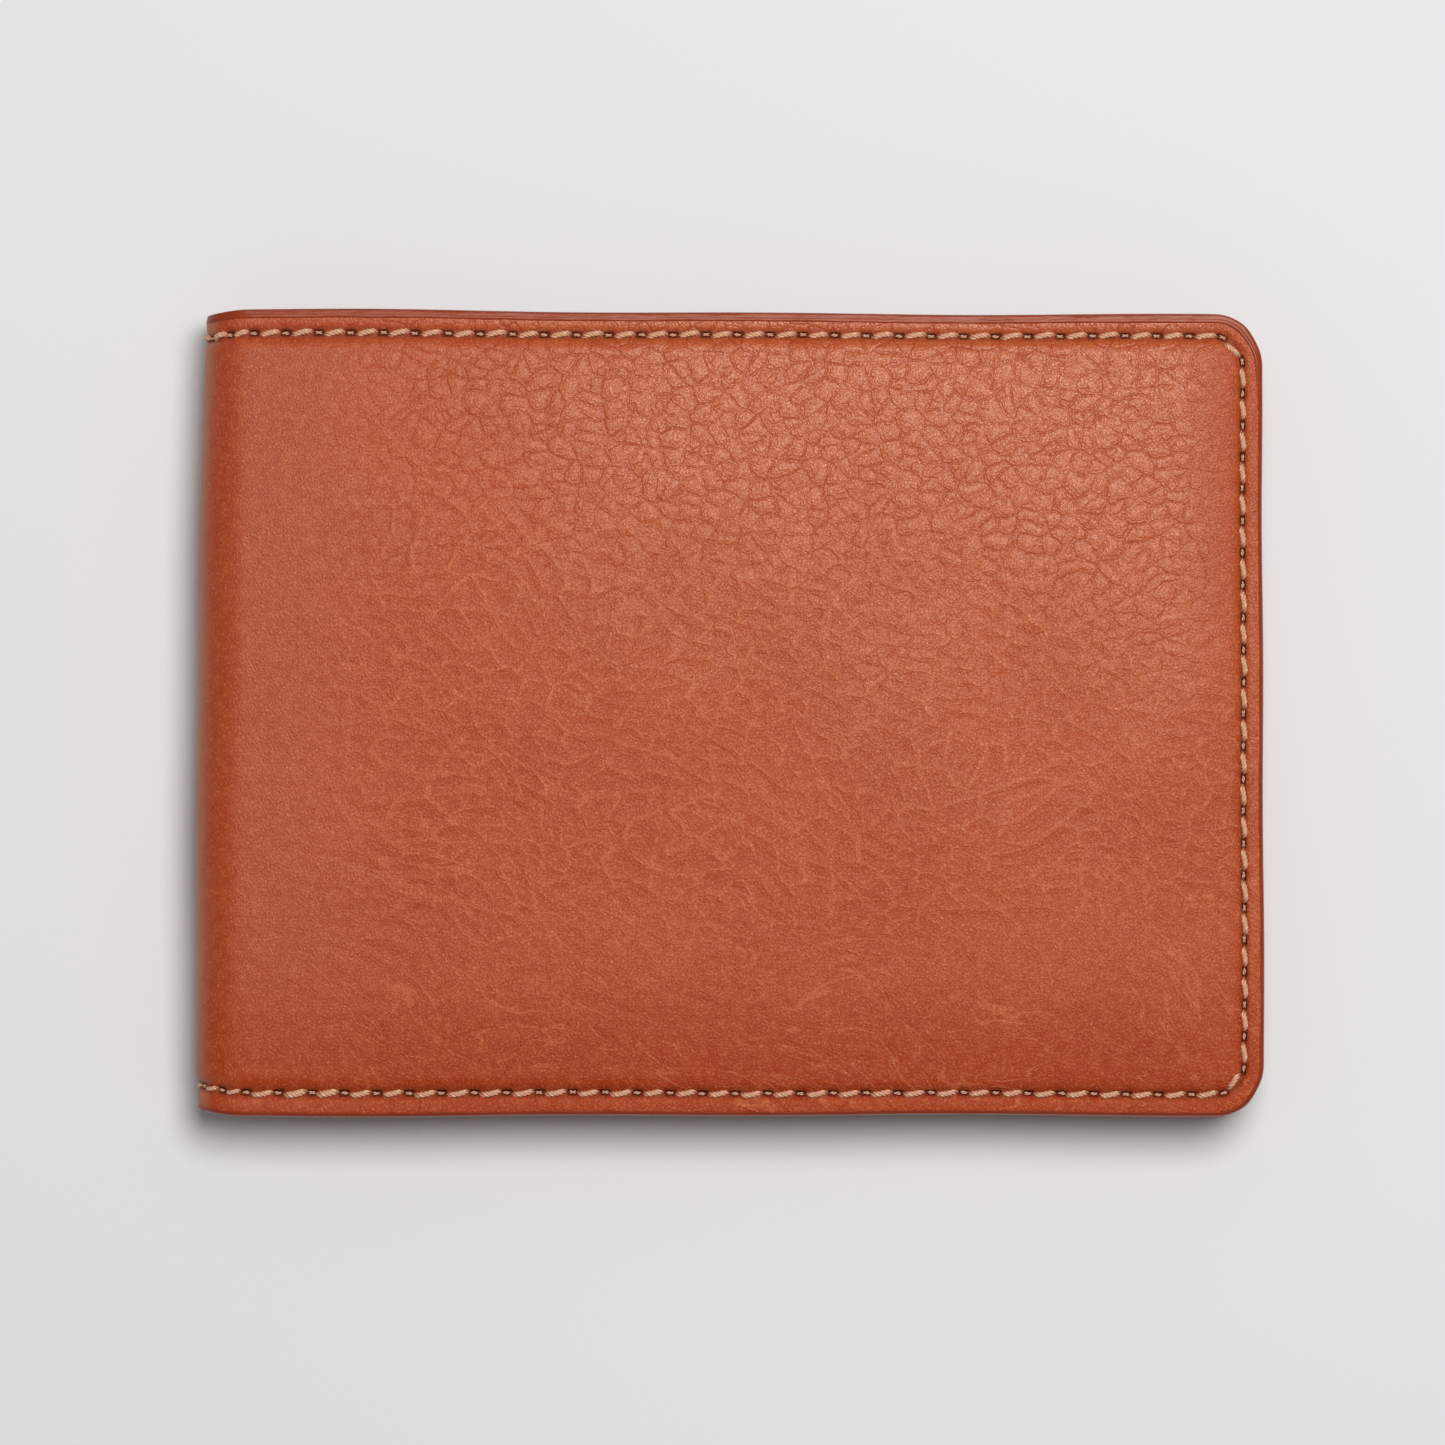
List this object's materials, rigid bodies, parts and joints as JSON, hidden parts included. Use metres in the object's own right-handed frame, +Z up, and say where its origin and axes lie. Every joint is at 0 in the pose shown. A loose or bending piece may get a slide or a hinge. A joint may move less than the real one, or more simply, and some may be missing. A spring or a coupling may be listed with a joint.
{
  "type": "bifold wallet",
  "caption": "Slim padded leather bifold wallet, closed and empty: stitched cover over a lined note compartment, with stepped card pockets in each half. Opens flat at a two-crease fold.",
  "frame": {"origin": "middle of the bounding box's base, with the wallet closed and lying on its back cover", "axes": "+X from the fold to the free edge, +Y to the mouth of the note compartment, +Z up through the closed wallet"},
  "size_m": [0.11, 0.0826, 0.013],
  "materials": {
    "cover_leather": "tan pebbled leather, satin, with drawn creases",
    "inner_leather": "tan fine-grained leather, satin",
    "lining_fabric": "plain-woven brown twill",
    "foam": "off-white closed-cell foam, matt",
    "thread": "peach-tan twisted thread, slight sheen"
  },
  "bodies": {
    "back_half": {"back_cover_leather": "cover_leather", "back_cover_pad": "foam", "back_cover_lining": "lining_fabric", "back_note_wall": "inner_leather", "back_card_pocket_top": "inner_leather", "back_card_pocket_middle": "inner_leather", "back_card_pocket_front": "inner_leather", "back_outer_seam_thread": "thread", "back_top_seam_bobbin_thread": "thread", "back_inner_seam_thread": "thread", "back_pocket_seam_thread": "thread"},
    "fold": {"fold_cover_leather": "cover_leather", "fold_pad": "foam", "fold_lining": "lining_fabric", "fold_note_wall": "inner_leather", "fold_top_seam_thread": "thread", "fold_bottom_seam_thread": "thread", "fold_top_bobbin_thread": "thread"},
    "front_half": {"front_cover_leather": "cover_leather", "front_cover_pad": "foam", "front_cover_lining": "lining_fabric", "front_note_wall": "inner_leather", "front_card_pocket_top": "inner_leather", "front_card_pocket_middle": "inner_leather", "front_card_pocket_front": "inner_leather", "front_outer_seam_thread": "thread", "front_top_seam_bobbin_thread": "thread", "front_inner_seam_thread": "thread", "front_pocket_seam_thread": "thread"}
  },
  "joints": [
    {"name": "back_crease", "type": "hinge", "parent": "back_half", "child": "fold", "pos_m": [-0.05345, 0, 0.00155], "axis": [0, -1, 0], "range_deg": [0, 90]},
    {"name": "front_crease", "type": "hinge", "parent": "fold", "child": "front_half", "pos_m": [-0.05345, 0, 0.01145], "axis": [0, -1, 0], "range_deg": [0, 90]}
  ],
  "couplings": [
    {"joint": "front_crease", "follows": "back_crease", "ratio": 1}
  ]
}
